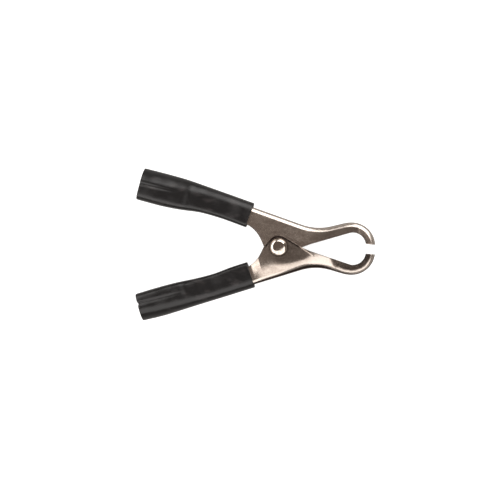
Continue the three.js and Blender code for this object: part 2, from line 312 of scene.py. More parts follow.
def web_path(lengths, nose_turn):
    """Outside of the web at distances from the handle's end: places, headings and the whole length."""
    stretches = [
        (HANDLE_END + WEB_STRAIGHT, 0),
        (WAIST[0] * math.radians(WAIST[1]), math.radians(WAIST[1])),
        (JAW_STRAIGHT, 0),
        (CREST[0] * math.radians(-CREST[1]), math.radians(CREST[1])),
        (NOSE_RADIUS * nose_turn, -nose_turn),
    ]
    starts = [(0.0, handle_point(HANDLE_END, WEB_OFFSET), -HANDLE_SLOPE)]
    for length, turn in stretches:
        starts.append(web_step(starts[-1], length, turn, length))
    places = []
    headings = []
    for distance in lengths:
        index = max(i for i in range(len(stretches)) if starts[i][0] <= distance + 1e-9)
        length, turn = stretches[index]
        _, place, heading = web_step(starts[index], length, turn, distance - starts[index][0])
        places.append(place)
        headings.append(heading)
    return np.array(places), np.array(headings), starts[-1][0]


def web_step(start, length, turn, distance):
    """Where a stretch of that length and turn has got to after a distance."""
    walked, place, heading = start
    turned = turn * distance / length
    chord = distance if turn == 0 else 2 * length / turn * math.sin(turned / 2)
    middle = heading + turned / 2
    step = chord * np.array([math.cos(middle), math.sin(middle)])
    return walked + distance, place + step, heading + turned


def free_edge():
    """The side walls' free edge in the side view, from the handle's end to past the jaw's tip."""
    flank = np.array([-math.cos(FLANK_ANGLE), math.sin(FLANK_ANGLE)])
    flank_top = SHOULDER + FLANK_LENGTH * flank
    outwards = np.array([math.sin(HANDLE_SLOPE), math.cos(HANDLE_SLOPE)])
    handle_edge = WEB_OFFSET - HANDLE_DEPTH
    corner = SHOULDER + flank * (handle_edge - outwards @ SHOULDER) / (outwards @ flank)
    flank_start = handle_point(FLANK_START, handle_edge)
    share = np.linspace(0, 1, 25)[:, None]
    bend = (1 - share) ** 2 * flank_start + 2 * share * (1 - share) * corner + share**2 * flank_top
    ear_start = math.atan2(SHOULDER[1], SHOULDER[0])
    ear_start += math.acos(EAR_RADIUS / np.linalg.norm(SHOULDER))
    ear_end = math.atan2(CROTCH[1], CROTCH[0])
    ear_end -= math.acos(EAR_RADIUS / np.linalg.norm(CROTCH))
    to_hollow = NOSE_HOLLOW - JAW_EDGE_START
    jaw_slope = math.atan2(to_hollow[1], to_hollow[0])
    jaw_slope += math.asin(NOSE_HOLLOW_RADIUS / np.linalg.norm(to_hollow))
    return np.vstack([
        handle_point(HANDLE_END + 1, WEB_OFFSET - TAB_DEPTH),
        handle_point(TAB_START, WEB_OFFSET - TAB_DEPTH),
        handle_point(TAB_START, WEB_OFFSET - LOW_DEPTH),
        handle_point(LOW_START, WEB_OFFSET - LOW_DEPTH),
        handle_point(LOW_START, handle_edge),
        bend,
        SHOULDER,
        arc(np.zeros(2), EAR_RADIUS, ear_start, ear_end + 2 * math.pi, 60),
        CROTCH,
        JAW_EDGE_START,
        arc(NOSE_HOLLOW, NOSE_HOLLOW_RADIUS, math.pi / 2 + jaw_slope, PAST_TIP, 60),
    ])


def wall_reach(places, inwards, edge):
    """How deep the side walls are at each station, from the web's outside to the free edge."""
    start = edge[:-1]
    run = np.diff(edge, axis=0)
    reach = []
    for place, inward in zip(places, inwards):
        offset = start - place
        across = inward[0] * run[:, 1] - inward[1] * run[:, 0]
        across[np.abs(across) < 1e-12] = 1e-12
        depth = (offset[:, 0] * run[:, 1] - offset[:, 1] * run[:, 0]) / across
        share = (offset[:, 0] * inward[1] - offset[:, 1] * inward[0]) / across
        hits = depth[(share >= -1e-9) & (share <= 1 + 1e-9) & (depth > LOW_DEPTH / 2)]
        reach.append(hits.min())
    return np.array(reach)


def depth_of_pad(places, inwards):
    """Depth at which each station's line meets the edge of the flat pad, or infinity."""
    u = (places[:, :1] - PAD_CENTRE) / PAD_LENGTH
    v = places[:, 1:] / PAD_WIDTH
    du = inwards[:, :1] / PAD_LENGTH
    dv = inwards[:, 1:] / PAD_WIDTH
    square = du**2 + dv**2
    middle = (u * du + v * dv) / square
    under_root = middle**2 - (u**2 + v**2 - 1) / square
    return np.where(under_root > 0, -middle - np.sqrt(np.maximum(under_root, 0)), np.inf)


def past_jaw_fold(x, y):
    """How far a point lies beyond the fold at which the lower lever's jaw begins."""
    return x - JAW_FOLD_X - JAW_FOLD_SLANT * (y - JAW_FOLD_Y)


def rim_drop(x, y):
    """How far the lower lever's wall drops outside the rim line. Beside the upper ear it doesn't."""
    past_rim = (x - RIM_START[0]) * math.sin(RIM_SLOPE) - (y - RIM_START[1]) * math.cos(RIM_SLOPE)
    step = 0.12 * fade_in(x, 9.0, 10.0)
    hollow = 0.3 * fade_in(x, 10.4, 12.0)
    return (step + hollow) * fade_out(x, 13.0, 15.5) * fade_in(past_rim, 0, RIM_WIDTH)


def ear_flare(x, y, along, depth, places, inwards):
    """How far the lower lever's wall stands out from a plain channel's."""
    rise = np.clip(depth_of_pad(places, inwards) - RISE_START, SHORTEST_RISE, LONGEST_RISE)
    from_web = soft_min(np.maximum((depth - RISE_START) / rise, 0), 1, PAD_SOFTNESS)
    from_handle = (FLARE_START - along) / (FLARE_START - CREASE_ALONG)
    from_handle = soft_min(np.maximum(from_handle, 0), 1, CREASE_SOFTNESS)
    to_jaw = 1 - past_jaw_fold(x, y) / JAW_FADE
    to_jaw = soft_min(np.maximum(to_jaw, 0), 1, JAW_FOLD_SOFTNESS)
    return FLARE * from_web * from_handle * to_jaw - rim_drop(x, y)


def plain_wall(x, y, along, depth, places, inwards):
    """The upper lever's wall is flat but for a faint line where its nose was worked."""
    return NOSE_LINE_HEIGHT * np.exp(-(((x - NOSE_LINE_X) / NOSE_LINE_WIDTH) ** 2))


def distance_to(line, points):
    """Distance of each point to the nearest place on a line of points."""
    nearest = np.full(len(points), np.inf)
    for start, end in zip(line[:-1], line[1:]):
        run = end - start
        share = np.clip((points - start) @ run / (run @ run), 0, 1)
        nearest = np.minimum(nearest, np.linalg.norm(points - start - share[:, None] * run, axis=1))
    return nearest


def mark_finish(piece, web, edge, shade_line_widths, shading, mirror):
    """Stores where the plate is darker with painted shade, where painted dark lines of shade lie, and
    where it is rubbed lighter with a painted highlight.
    """
    mesh = piece.data
    points = np.empty(len(mesh.vertices) * 3)
    mesh.vertices.foreach_get("co", points)
    points = points.reshape(-1, 3) / MM
    side_view = points[:, :2] * np.array([1, -1 if mirror else 1])
    x, y = side_view.T
    across = np.abs(points[:, 2] - PIVOT_HEIGHT)
    from_web = distance_to(web, side_view)
    from_edge = distance_to(edge, side_view)
    darker_and_painted_shade, rubbed_and_highlight = shading(x, y, from_edge)
    off_web = fade_in(from_web, SHEET, SHEET + 1.2)
    # darker plate with painted shade, painted dark lines of shade, and rubbed plate with painted highlight
    marks = {
        "darker_and_painted_shade": darker_and_painted_shade * off_web,
        "painted_dark_lines": painted_shade_lines(x, y, across, from_web, from_edge, shade_line_widths),
        "rubbed_and_highlight": np.maximum(rubbed_and_highlight * off_web, bend_rub_and_highlight(from_web)),
    }
    for name, values in marks.items():
        attribute = mesh.attributes.new(name, "FLOAT", "POINT")
        attribute.data.foreach_set("value", values.astype(np.float32))


def painted_shade_lines(x, y, across, from_web, from_edge, shade_line_widths):
    """Painted shade: dark lines along the outside of the bends and at the cut edges, in place of dark
    reflections there, and a painted contact shadow round the rivet's head.
    """
    knots, widths = zip(*shade_line_widths)
    width = np.interp(x, knots, widths)
    bend_start = CHANNEL_HALF - SHEET - 1.4
    # painted shade: a dark band along the outside of each bend, in place of its dark reflection
    bends = fade_in(from_web, 0, 0.4) * fade_out(from_web / width, 0.75, 1.25)
    bends = bends * fade_in(across, bend_start, bend_start + 0.8)
    # painted shade along the cut edges, in place of their dark reflections
    edges = 0.6 * fade_out(from_edge, 0, 0.5)
    # painted contact shadow in a ring round the rivet's head
    from_head = np.abs(np.hypot(x, y) - HEAD_RADIUS - 0.2)
    ring = 0.5 * fade_out(from_head, 0, 0.8)
    return np.max([bends, edges, ring], axis=0)


def bend_rub_and_highlight(from_web):
    """Lighter plate along the bends: rubbed by the forming tool, and a painted highlight that whitens the
    bends' highlights.
    """
    return fade_in(from_web, 0.15, 0.45) * fade_out(from_web, 1.6, 2.4)


def upper_shading(x, y, from_edge):
    """The upper lever's walls are a little darker towards the jaw, and get neither rubbed plate nor
    painted highlight.
    """
    darker_and_painted_shade = 0.4 * fade_in(x, 8, 22) * fade_out(x, 33, 35)
    return darker_and_painted_shade, np.zeros_like(x)


def lower_shading(x, y, from_edge):
    """The lower lever's walls: painted shade on the ear's pad and along its rim, darker in the jaw, and
    elsewhere a painted highlight that grows towards the jaw.
    """
    inside = np.hypot((x - PAD_CENTRE) / PAD_LENGTH, y / PAD_WIDTH)
    on_pad = fade_out(inside, 0.7, 1.3)
    in_jaw = fade_in(past_jaw_fold(x, y), 0, 1.2)
    on_ear = fade_out(y, 1.5, 3) * fade_in(x, -7, -5) * fade_out(x, 8, 10)
    # painted shade: the ear's flat pad is painted darker, more so on its jaw side
    pad = (0.24 + 0.18 * fade_in(x, -6, 4)) * on_pad
    # painted shadow: a dark band just inside the ear's rim
    rim = 0.85 * fade_in(from_edge, 0.1, 0.35) * fade_out(from_edge, 0.5, 1.4) * on_ear
    darker_and_painted_shade = np.max([pad, rim, 0.6 * in_jaw], axis=0)
    # painted highlight: lighter plate over the rest of the wall, where the front softbox's highlight lies,
    # growing towards the jaw
    slope = (0.2 + 0.7 * fade_in(x, -2, 12)) * (1 - on_pad) * (1 - in_jaw)
    return darker_and_painted_shade, slope


def turn_of_nose(tip_outer):
    """Angle that the nose turns through on its way down to the tip's outer corner."""
    _, _, unbent = web_path([0], 1e-9)
    nose_start, _, _ = web_path([unbent], 1e-9)
    return math.acos((tip_outer - nose_start[0][1] + NOSE_RADIUS) / NOSE_RADIUS)


def lever_stations(whole):
    """Distances of the lever's sections from the handle's end, wider apart where the sleeve hides them."""
    hidden_end = HANDLE_END - HIDDEN_ALONG
    half_step = 0.05
    steps_at = [HANDLE_END - TAB_START, HANDLE_END - LOW_START]
    distances = np.concatenate([
        [0.0, EDGE_ROUND / 3, EDGE_ROUND],
        *[[at - half_step, at + half_step] for at in steps_at],
        np.linspace(1.5, hidden_end, 18),
        np.linspace(hidden_end + 0.25, whole - 0.3, 255),
        [whole - EDGE_ROUND, whole - EDGE_ROUND / 3, whole],
    ])
    distances = np.unique(np.round(distances, 4))
    distances[-1] = whole
    return distances


def section_directions(distances, places, headings, tip_inner):
    """Which way each section runs from web to free edge. Towards the tip they turn into its cut."""
    normals = np.column_stack([np.sin(headings), -np.cos(headings)])
    inner_x = NOSE_HOLLOW[0] + math.sqrt(NOSE_HOLLOW_RADIUS**2 - (tip_inner - NOSE_HOLLOW[1]) ** 2)
    tip_line = np.array([inner_x, tip_inner]) - places[-1]
    tip_line /= np.linalg.norm(tip_line)
    turned = fade_in(distances, distances[-1] - TIP_LENGTH, distances[-1])[:, None]
    inwards = normals * (1 - turned) + tip_line * turned
    return inwards / np.linalg.norm(inwards, axis=1)[:, None]


def end_inset(distances):
    """How far each section is drawn in, to round the edges of the lever's two end faces."""
    deepest = 0.7 * EDGE_ROUND
    from_end = np.minimum(distances, distances[-1] - distances)
    to_face = (1 - from_end / EDGE_ROUND).clip(0)
    return deepest * (1 - np.sqrt(1 - to_face**2))[:, None]


def channel_section(wall, reach, bend, inset, levels):
    """Every station's section as (across, depth), from the web's middle round both sides of the sheet."""
    web = (np.arange(4) + 0.5) / 4
    turn = np.linspace(math.pi / 2, 0, 12)
    down = np.linspace(0, 1, levels + 1)[1:]
    up = np.linspace(1, 0, 21)
    round_across, round_out = cut_profile(7)
    edge_depth = reach - EDGE_ROUND - inset
    outer = CHANNEL_HALF - inset
    inner = CHANNEL_HALF - SHEET + inset
    centre = CHANNEL_HALF - bend
    bend_out = bend - inset
    bend_in = bend - SHEET + inset

    outer_web = (centre * web, inset + 0 * web)
    bend_depth = bend - bend_out * np.sin(turn)
    outer_bend = (centre + bend_out * np.cos(turn) + wall(bend_depth, 0), bend_depth)
    wall_depth = bend + (edge_depth - bend) * down
    outer_wall = (wall(wall_depth, outer), wall_depth)
    rim_face = outer + (inner - outer) * round_across
    rim = (wall(edge_depth, rim_face), edge_depth + EDGE_ROUND * round_out)
    back_depth = bend + (edge_depth - bend) * up
    inner_wall = (wall(back_depth, inner), back_depth)
    back_turn = turn[::-1][1:]
    inner_depth = bend - bend_in * np.sin(back_turn)
    inner_bend = (centre + bend_in * np.cos(back_turn) + wall(inner_depth, 0), inner_depth)
    inner_web = (centre * web[::-1], SHEET - inset + 0 * web)
    parts = [outer_web, outer_bend, outer_wall, rim, inner_wall, inner_bend, inner_web]
    across = np.hstack([part[0] for part in parts])
    depth = np.hstack([part[1] for part in parts])
    return np.hstack([across, -across[:, ::-1]]), np.hstack([depth, depth[:, ::-1]])


def drill_lever(piece, mirror):
    """Cuts the rivet's hole through both ears and the wiring hole through the handle's web."""
    drill(piece, RIVET_HOLE_RADIUS, 4 * PIVOT_HEIGHT, Matrix.Identity(4))
    side = -1 if mirror else 1
    hole = handle_point(WIRE_HOLE_ALONG, WEB_OFFSET)
    place = Matrix.Translation(Vector((hole[0], side * hole[1], PIVOT_HEIGHT)) * MM)
    turn_up = Matrix.Rotation(-side * HANDLE_SLOPE, 4, "Z") @ Matrix.Rotation(math.pi / 2, 4, "X")
    drill(piece, WIRE_HOLE_RADIUS, 4 * SHEET, place @ turn_up)


def lever(name, stand_out, shading, bends, shade_line_widths, tip, levels, mirror):
    """One stamped lever, whose walls have that many levels of faces and stand out by stand_out()."""
    nose_turn = turn_of_nose(tip[0])
    _, _, whole = web_path([0], nose_turn)
    distances = lever_stations(whole)
    places, headings, _ = web_path(distances, nose_turn)
    inwards = section_directions(distances, places, headings, tip[1])
    along = HANDLE_END - distances[:, None]
    edge = free_edge()
    reach = wall_reach(places, inwards, edge)[:, None]
    knots, radii = zip(*bends)
    bend = np.interp(places[:, 0], knots, radii)[:, None]

    def wall(depth, face):
        """How far out a face of the wall lies at a depth, with what it stands out by."""
        x = places[:, :1] + inwards[:, :1] * depth
        y = places[:, 1:] + inwards[:, 1:] * depth
        return face + stand_out(x, y, along, depth, places, inwards)

    across, depth = channel_section(wall, reach, bend, end_inset(distances), levels)
    rings = np.stack([
        places[:, :1] + inwards[:, :1] * depth,
        places[:, 1:] + inwards[:, 1:] * depth,
        PIVOT_HEIGHT + across,
    ], axis=-1)
    piece = build_piece(name, rings, closed=False, mirror=mirror)
    drill_lever(piece, mirror)
    finish_shading(piece, 40)
    mark_finish(piece, places, edge, shade_line_widths, shading, mirror)
    return piece


# ---------------------------------------------------------------- rivet and spring

def rivet_profile():
    """Half outline of the rivet, as (radius, height), from the middle of its tail to its crown."""
    tail = PIVOT_HEIGHT - RIVET_GRIP_HALF
    head = PIVOT_HEIGHT + RIVET_GRIP_HALF
    rounding = 0.25
    corner = 0.1
    profile = [np.array([[0.02, 0.0], [1.0, 0.0], [2.0, 0.0], [2.8, 0.0]])]
    profile.append(arc(np.array([TAIL_RADIUS - rounding, rounding]), rounding, -math.pi / 2, 0, 5))
    profile.append(arc(np.array([TAIL_RADIUS - corner, tail - corner]), corner, 0, math.pi / 2, 3))
    profile.append(np.array([[SHANK_RADIUS, tail], [SHANK_RADIUS, head]]))
    profile.append(arc(np.array([HEAD_RADIUS - corner, head + corner]), corner, -math.pi / 2, 0, 3))
    # the crown is nearly flat in the middle and turns down towards the rim
    radius = HEAD_RADIUS * np.sin(np.linspace(math.pi / 2, 0.006, 44))
    height = head + HEAD_RIM + HEAD_DOME * (1 - (radius / HEAD_RADIUS) ** 5) ** 0.75
    profile.append(np.column_stack([radius, height]))
    return np.vstack(profile)


def rivet(name):
    """The rivet, turned from its half outline, with a slightly uneven struck head."""
    profile = rivet_profile()
    angles = np.linspace(0, 2 * math.pi, 97)[:-1]
    radius = profile[:, :1]
    height = profile[:, 1:] + 0 * angles
    crown_start = PIVOT_HEIGHT + RIVET_GRIP_HALF + HEAD_RIM
    crown = fade_in(height, crown_start, crown_start + HEAD_DOME)
    x = radius * np.cos(angles)
    y = radius * np.sin(angles)
    uneven = 0.07 * y - 0.035 * x + 0.02 * np.sin(1.3 * x + 0.6) * np.cos(1.1 * y - 0.4)
    rings = np.stack([x, y, height + crown * uneven], axis=-1)
    return build_piece(name, rings, closed=False, sharp=50)


def spring_line():
    """Middle of the wire: the lower handle's leg, the coil round the rivet, the upper handle's leg."""
    end_angle = math.pi / 2 - LEG_ANGLE
    sweep = 2 * end_angle + 2 * math.pi * WHOLE_TURNS
    shares = np.linspace(0, 1, WHOLE_TURNS * 48)
    angles = -end_angle + shares * sweep
    coil = np.column_stack([
        COIL_RADIUS * np.cos(angles),
        COIL_RADIUS * np.sin(angles),
        PIVOT_HEIGHT + COIL_HALF_HEIGHT * (2 * shares - 1),
    ])
    direction = np.array([-math.cos(LEG_ANGLE), math.sin(LEG_ANGLE), 0])
    reach = np.linspace(LEG_LENGTH, 0, 30)[:-1, None]
    lower = coil[0] + reach * direction * np.array([1, -1, 1])
    upper = coil[-1] + reach[::-1] * direction
    return np.vstack([lower, coil, upper])


def spring(name):
    """The torsion spring, of round wire whose cut ends are slightly rounded."""
    line = spring_line()
    along = np.gradient(line, axis=0)
    along /= np.linalg.norm(along, axis=1)[:, None]
    up = np.array([0, 0, 1.0])
    side = np.cross(along, up)
    side /= np.linalg.norm(side, axis=1)[:, None]
    over = np.cross(side, along)
    angles = np.linspace(0, 2 * math.pi, 25)[:-1]
    rounding = 0.12
    first = line[:1] - along[:1] * rounding
    last = line[-1:] + along[-1:] * rounding
    line = np.vstack([first, line, last])
    side = np.vstack([side[:1], side, side[-1:]])
    over = np.vstack([over[:1], over, over[-1:]])
    radius = np.full(len(line), WIRE_RADIUS)
    radius[[0, -1]] -= rounding
    ring = radius[:, None, None] * (
        side[:, None] * np.cos(angles)[:, None] + over[:, None] * np.sin(angles)[:, None]
    )
    return build_piece(name, line[:, None] + ring, closed=False)


# ---------------------------------------------------------------- sleeves

def smooth_rows(rows, along):
    """Each column of a station table as a smooth curve over its first column."""
    table = np.array(rows, float)
    knots = table[:, 0]
    slopes = np.gradient(table, knots, axis=0)
    index = np.clip(np.searchsorted(knots, along) - 1, 0, len(knots) - 2)
    width = (knots[index + 1] - knots[index])[:, None]
    t = (along - knots[index])[:, None] / width
    start = table[index]
    end = table[index + 1]
    return (
        start * (1 + 2 * t) * (1 - t) ** 2
        + end * t**2 * (3 - 2 * t)
        + width * slopes[index] * t * (1 - t) ** 2
        - width * slopes[index + 1] * t**2 * (1 - t)
    )


def rounded_box(half_across, half_height, squareness, angles):
    """A superellipse, as (across, height) at each angle for each station."""
    cos = np.abs(np.cos(angles))
    sin = np.abs(np.sin(angles))
    power = np.where(np.sin(angles) > 0, squareness * INNER_SQUARENESS, squareness)
    radius = (cos**power + sin**power) ** (-1 / power)
    return half_across * radius * np.cos(angles), half_height * radius * np.sin(angles)


def slack(along, angles):
    """How far soft vinyl bulges: long shallow waves, and a shoulder over the lever's end."""
    waves = 0.05 * np.sin(0.42 * along + 1.7 * np.cos(angles) + 0.8)
    waves = waves + 0.03 * np.sin(0.95 * along - 2.3 * np.sin(angles))
    shoulder = 0.22 * np.exp(-(((along - HANDLE_END + 1.2) / 1.7) ** 2))
    return waves + shoulder


def sleeve(name, table, crease, mirror):
    """One soft sleeve, with a crease that runs into its upper side from the tail."""
    around = 144
    angles = 2 * math.pi * (np.arange(around) + 0.5) / around
    first = table[0][0] + SLEEVE_END_ROUND
    last = table[-1][0] - SLEEVE_END_ROUND
    along = np.linspace(first, last, 110)
    rows = smooth_rows(table, along)
    inner, outer, half, squareness = (rows[:, column : column + 1] for column in (1, 2, 3, 4))
    centres = np.array([handle_point(a, m) for a, m in zip(along, (inner + outer)[:, 0] / 2)])
    tailwards = np.gradient(centres, axis=0)
    tailwards /= np.linalg.norm(tailwards, axis=1)[:, None]
    inwards = np.column_stack([-tailwards[:, 1], tailwards[:, 0]])

    # the bore fits the lever's channel and opens into a plain tube behind the lever's end
    on_metal = fade_out(along, HANDLE_END - 1, HANDLE_END + 6)[:, None]
    off_metal = 1 - on_metal
    bore_inner = on_metal * (WEB_OFFSET - HANDLE_DEPTH - SLEEVE_FIT) + off_metal * (inner + SLEEVE_WALL)
    bore_outer = on_metal * (WEB_OFFSET + SLEEVE_WEB_FIT) + off_metal * (outer - SLEEVE_WALL)
    bore_half = on_metal * (CHANNEL_HALF + SLEEVE_FIT) + off_metal * (half - SLEEVE_WALL)
    bore_square = on_metal * BORE_SQUARENESS + off_metal * squareness
    shift = (bore_inner + bore_outer - inner - outer) / 2

    skin_across, skin_height = rounded_box(half, (outer - inner) / 2, squareness, angles)
    bore_across, bore_height = rounded_box(bore_half, (bore_outer - bore_inner) / 2, bore_square, angles)
    bore_height = bore_height - shift

    share, depth, length, notch = crease
    from_tail = (last - along)[:, None]
    crease_at = (0.5 - share) * (outer - inner)[-1] - 0.02 * from_tail
    fade = np.clip(1 - from_tail / length, 0, 1) ** 0.8
    on_top = fade_in(skin_across / half, 1 / 11, 6 / 11)
    groove = depth * fade * on_top * np.exp(-(((skin_height - crease_at) / 0.7) ** 2))
    notches = notch * on_top[-1] * np.exp(-(((skin_height[-1] - crease_at[-1]) / 0.6) ** 2))
    skin_across = skin_across + slack(along[:, None], angles) * np.cos(angles) - groove
    bore_across = bore_across - groove * off_metal

    def ring(index, across, height, beyond):
        """A ring of points at a station, moved tailwards by beyond."""
        beyond = np.broadcast_to(beyond, height.shape)
        centre = centres[index] + tailwards[index] * beyond[:, None]
        flat = centre + inwards[index] * height[:, None]
        return np.column_stack([flat, PIVOT_HEIGHT + across])

    def rounded_end(index, start, finish, beyond):
        """The wall's end at a station, from one surface's ring to the other's."""
        return [
            ring(index, *(start * (1 - through) + finish * through), beyond * out)
            for through, out in zip(*cut_profile(9))
        ]

    skin = np.stack([skin_across, skin_height], axis=1)
    bore = np.stack([bore_across, bore_height], axis=1)
    rings = [ring(index, *skin[index], 0) for index in range(len(along))]
    rings += rounded_end(-1, skin[-1], bore[-1], SLEEVE_END_ROUND - notches)
    rings += [ring(index, *bore[index], 0) for index in reversed(range(len(along)))]
    rings += rounded_end(0, bore[0], skin[0], -SLEEVE_END_ROUND)
    return build_piece(name, np.array(rings), closed=True, mirror=mirror, sharp=60)


# ---------------------------------------------------------------- materials

def spread_value(tree, value, low, high, to_low=0.0, to_high=1.0):
    """A value stretched smoothly from one range to another."""
    node = tree.nodes.new("ShaderNodeMapRange")
    node.interpolation_type = "SMOOTHSTEP"
    node.inputs["From Min"].default_value = low
    node.inputs["From Max"].default_value = high
    node.inputs["To Min"].default_value = to_low
    node.inputs["To Max"].default_value = to_high
    tree.links.new(value, node.inputs["Value"])
    return node.outputs["Result"]


def blend_colours(tree, share, first, second):
    """A colour between two, each of them a colour or a node's output."""
    node = tree.nodes.new("ShaderNodeMix")
    node.data_type = "RGBA"
    tree.links.new(share, node.inputs["Factor"])
    # a Mix node takes its two colours in inputs 6 and 7, and gives its own in output 2
    for socket, colour in zip(node.inputs[6:8], (first, second)):
        if isinstance(colour, tuple):
            socket.default_value = (*colour, 1)
        else:
            tree.links.new(colour, socket)
    return node.outputs[2]


class Surface:
    """A node material under construction, with short calls for the nodes that the finishes share."""

    def __init__(self, name):
        self.material = bpy.data.materials.new(name)
        self.material.use_nodes = True
        self.tree = self.material.node_tree
        self.nodes = self.tree.nodes
        self.links = self.tree.links
        self.shader = self.nodes["Principled BSDF"]
        self.coordinates = self.nodes.new("ShaderNodeTexCoord")

    def noise(self, scale, detail=4.0, stretch=(1, 1, 1), turn=0.0):
        """Noise over the object's own coordinates, with scale in features per millimetre."""
        mapping = self.nodes.new("ShaderNodeMapping")
        mapping.inputs["Rotation"].default_value = (0, 0, turn)
        mapping.inputs["Scale"].default_value = [value / MM for value in stretch]
        texture = self.nodes.new("ShaderNodeTexNoise")
        texture.inputs["Scale"].default_value = scale
        texture.inputs["Detail"].default_value = detail
        self.links.new(self.coordinates.outputs["Object"], mapping.inputs["Vector"])
        self.links.new(mapping.outputs["Vector"], texture.inputs["Vector"])
        return texture.outputs["Fac"]

    def spread(self, value, low, high, to_low=0.0, to_high=1.0):
        """spread_value() among this material's nodes."""
        return spread_value(self.tree, value, low, high, to_low, to_high)

    def math(self, operation, first, second):
        """An operation on two values, each of them a number or a node's output."""
        node = self.nodes.new("ShaderNodeMath")
        node.operation = operation
        for socket, value in zip(node.inputs, (first, second)):
            if isinstance(value, (int, float)):
                socket.default_value = value
            else:
                self.links.new(value, socket)
        return node.outputs["Value"]

    def blend(self, share, first, second):
        """blend_colours() among this material's nodes."""
        return blend_colours(self.tree, share, first, second)

    def bump(self, height, distance, strength=1.0, under=None):
        """Relief of a height in millimetres, laid over another relief if there is one."""
        node = self.nodes.new("ShaderNodeBump")
        node.inputs["Distance"].default_value = distance * MM
        node.inputs["Strength"].default_value = strength
        self.links.new(height, node.inputs["Height"])
        if under is not None:
            self.links.new(under, node.inputs["Normal"])
        return node.outputs["Normal"]

    def mark(self, name):
        """A value that the mesh holds at its points."""
        node = self.nodes.new("ShaderNodeAttribute")
        node.attribute_name = name
        return node.outputs["Fac"]

    def set(self, socket, value):
        """Sets a socket of the shader to a number, or to a node's output."""
        if isinstance(value, (int, float)):
            self.shader.inputs[socket].default_value = value
        else:
            self.links.new(value, self.shader.inputs[socket])


def nickel_plate():
    """Semi-bright nickel over rolled steel: mottled, lighter where rubbed and where highlights are
    painted, darker where shade and dark lines are painted and towards the jaws.
    """
    clean = (0.52, 0.45, 0.39)
    cloudy = (0.44, 0.37, 0.32)
    streaked = (0.25, 0.195, 0.16)
    mottled = (0.31, 0.24, 0.195)
    grained = (0.26, 0.205, 0.165)
    # the rubbed colour also serves as a painted highlight on the bends and the lower lever's slope
    rubbed = (0.67, 0.60, 0.54)
    shade_and_darker_colour = (0.018, 0.009, 0.006)
    painted_shade_colour = (0.02, 0.009, 0.005)
    surface = Surface("nickel_plate")
    clouds = surface.spread(surface.noise(0.22), 0.4, 0.62)
    mottle = surface.noise(0.9)
    grain = surface.noise(1.5, 3)
    streaks = surface.noise(0.6, 3, stretch=(0.2, 1, 1), turn=0.35)
    body = surface.blend(clouds, clean, cloudy)
    body = surface.blend(surface.spread(streaks, 0.44, 0.6, 0, 0.34), body, streaked)
    body = surface.blend(surface.spread(mottle, 0.42, 0.6, 0, 0.22), body, mottled)
    body = surface.blend(surface.spread(grain, 0.4, 0.62, 0, 0.26), body, grained)
    # lighter plate: rubbed along the bends, and a painted highlight there and on the lower lever's slope
    body = surface.blend(surface.mark("rubbed_and_highlight"), body, rubbed)
    # darker plate, patchy with the mottle: painted shade on the lower lever's pad and along its ear's rim,
    # and darker towards the jaws
    uneven = surface.math("MULTIPLY", surface.spread(mottle, 0.36, 0.62, 0.82, 1.18), surface.mark("darker_and_painted_shade"))
    body = surface.blend(surface.spread(uneven, 0.0, 1.0), body, shade_and_darker_colour)
    # painted shade: dark lines along the bends and cut edges, and a painted contact shadow round the rivet
    body = surface.blend(surface.mark("painted_dark_lines"), body, painted_shade_colour)
    surface.set("Base Color", body)
    surface.set("Metallic", 0.92)
    surface.set("Roughness", surface.spread(mottle, 0.3, 0.7, 0.2, 0.27))
    wavy = surface.bump(mottle, 0.022, 0.6)
    surface.set("Normal", surface.bump(grain, 0.008, 0.6, wavy))
    return surface.material


def bright_nickel():
    """The rivet's nickel, smoother than the stampings', with a few fine marks from the setting tool."""
    surface = Surface("bright_nickel")
    marks = surface.noise(1.6, stretch=(1, 0.25, 1), turn=0.5)
    body = surface.blend(surface.spread(marks, 0.35, 0.7), (0.78, 0.71, 0.64), (0.60, 0.53, 0.47))
    surface.set("Base Color", body)
    surface.set("Metallic", 1.0)
    surface.set("Roughness", surface.spread(marks, 0.3, 0.7, 0.08, 0.16))
    surface.set("Normal", surface.bump(surface.noise(0.5, 2), 0.03, 0.5))
    return surface.material


def drawn_wire():
    """Music wire, grey with fine drawing marks."""
    surface = Surface("drawn_wire")
    marks = surface.noise(3.0, 3)
    body = surface.blend(surface.spread(marks, 0.3, 0.7), (0.50, 0.48, 0.45), (0.30, 0.285, 0.27))
    surface.set("Base Color", body)
    surface.set("Metallic", 1.0)
    surface.set("Roughness", surface.spread(marks, 0.3, 0.7, 0.25, 0.42))
    surface.set("Normal", surface.bump(marks, 0.01, 0.6))
    return surface.material


def black_vinyl():
    """Soft satin PVC with a faint orange-peel, rubbed patches, dust and scuffs."""
    surface = Surface("black_vinyl")
    patches = surface.spread(surface.noise(0.16), 0.42, 0.68)
    dust = surface.spread(surface.noise(1.5, 3), 0.62, 0.78)
    body = surface.blend(patches, (0.003, 0.0026, 0.0028), (0.0055, 0.0048, 0.005))
    body = surface.blend(surface.math("MULTIPLY", dust, 0.2), body, (0.022, 0.019, 0.019))
    scuffs = surface.spread(surface.noise(0.3, 6, stretch=(0.45, 1, 1)), 0.56, 0.7, 0, 0.32)
    body = surface.blend(scuffs, body, (0.042, 0.036, 0.036))
    surface.set("Base Color", body)
    surface.set("Roughness", surface.spread(patches, 0, 1, 0.3, 0.37))
    surface.set("Specular IOR Level", 0.5)
    peel = surface.bump(surface.noise(0.55, 2), 0.025, 0.6)
    surface.set("Normal", surface.bump(surface.noise(4.0, 2), 0.006, 0.5, peel))
    return surface.material


